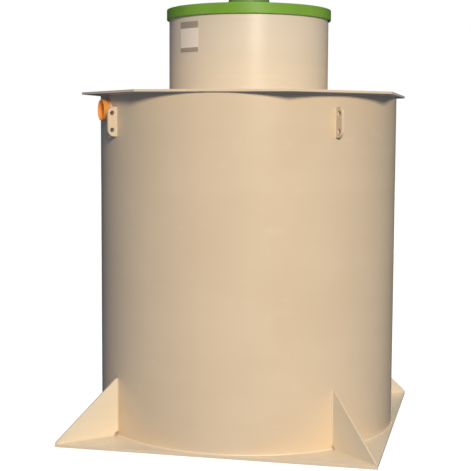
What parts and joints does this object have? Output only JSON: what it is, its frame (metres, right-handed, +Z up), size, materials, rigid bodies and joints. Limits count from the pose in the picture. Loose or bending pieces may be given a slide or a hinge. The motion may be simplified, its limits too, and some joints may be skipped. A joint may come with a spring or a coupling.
{
  "type": "household sewage treatment plant",
  "caption": "Round plastic treatment tank on a square base plate with gusset fins, a square top plate with cut corners, a round access neck and a lift-off lid with a vent cowl.",
  "frame": {"origin": "middle of the base plate's underside", "axes": "+Z up, -Y towards the front edge of the base plate, +X to the right"},
  "size_m": [1.63, 1.63, 2.3373],
  "materials": {
    "beige_sheet": "smooth welded polypropylene sheet, satin",
    "green_sheet": "coloured polypropylene sheet, satin",
    "dull_green": "moulded vent parts, matt",
    "orange_pipe": "extruded drain pipe, low gloss",
    "label": "bare plate, satin"
  },
  "bodies": {
    "tank": {"base_plate": "beige_sheet", "corner_fin_front_right": "beige_sheet", "corner_fin_back_right": "beige_sheet", "corner_fin_back_left": "beige_sheet", "corner_fin_front_left": "beige_sheet", "tank_wall_front": "beige_sheet", "tank_wall_front_right": "beige_sheet", "tank_wall_right": "beige_sheet", "tank_wall_back_right": "beige_sheet", "tank_wall_back": "beige_sheet", "tank_wall_back_left": "beige_sheet", "tank_wall_left": "beige_sheet", "tank_wall_front_left": "beige_sheet", "inlet_pipe": "orange_pipe", "outlet_pipe": "orange_pipe", "lifting_lug_front_right": "beige_sheet", "lifting_lug_back_right": "beige_sheet", "lifting_lug_back_left": "beige_sheet", "lifting_lug_front_left": "beige_sheet", "top_plate": "beige_sheet", "neck_wall_front_right": "beige_sheet", "neck_wall_back_right": "beige_sheet", "neck_wall_back_left": "beige_sheet", "neck_wall_front_left": "beige_sheet", "label_plate": "label"},
    "lid": {"lid_plate": "green_sheet", "lid_skirt": "green_sheet", "vent_stack": "dull_green", "vent_cowl": "dull_green"}
  },
  "joints": [
    {"name": "lid_lift", "type": "slide", "parent": "tank", "child": "lid", "axis": [0, 0, 1], "range_m": [0, 0.5]}
  ]
}
